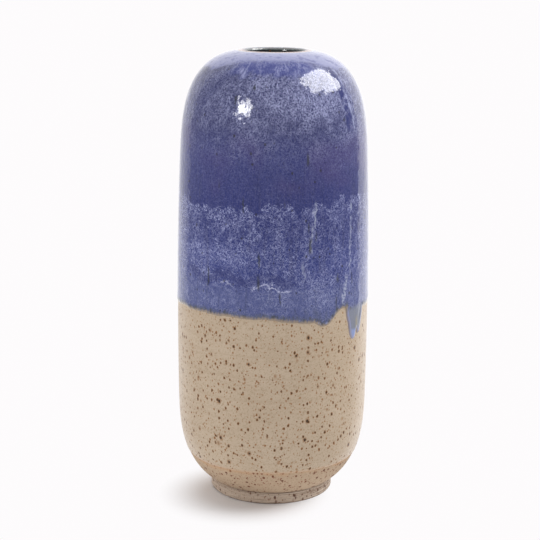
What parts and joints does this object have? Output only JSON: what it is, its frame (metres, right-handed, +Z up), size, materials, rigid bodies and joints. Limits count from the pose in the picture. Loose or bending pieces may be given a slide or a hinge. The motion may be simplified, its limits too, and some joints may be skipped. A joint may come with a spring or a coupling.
{
  "type": "bud vase",
  "caption": "Tall stoneware bud vase with soft square shoulders, a small mouth and a low foot ring, half dipped in a thick blue glaze over a thin clear glaze on speckled clay.",
  "frame": {"origin": "centre of the foot ring's underside, on the surface that the vase stands on", "axes": "+Z up along the throwing axis, out of the mouth; +X to the right of the side with two runs of glaze near it, -Y towards the viewer"},
  "size_m": [0.0866, 0.0866, 0.2],
  "materials": {
    "bare_stoneware": "matt, unglazed, iron-speckled",
    "foot_clay": "matt, unglazed, finely turned",
    "satin_clear_glaze": "satin, iron-speckled",
    "blue_gloss_glaze": "gloss, mottled",
    "grey_liner_glaze": "gloss"
  },
  "bodies": {
    "root": {"stoneware_body": "bare_stoneware", "foot_ring": "foot_clay", "clear_glaze": "satin_clear_glaze", "blue_glaze": "blue_gloss_glaze", "liner_glaze": "grey_liner_glaze"}
  },
  "joints": []
}
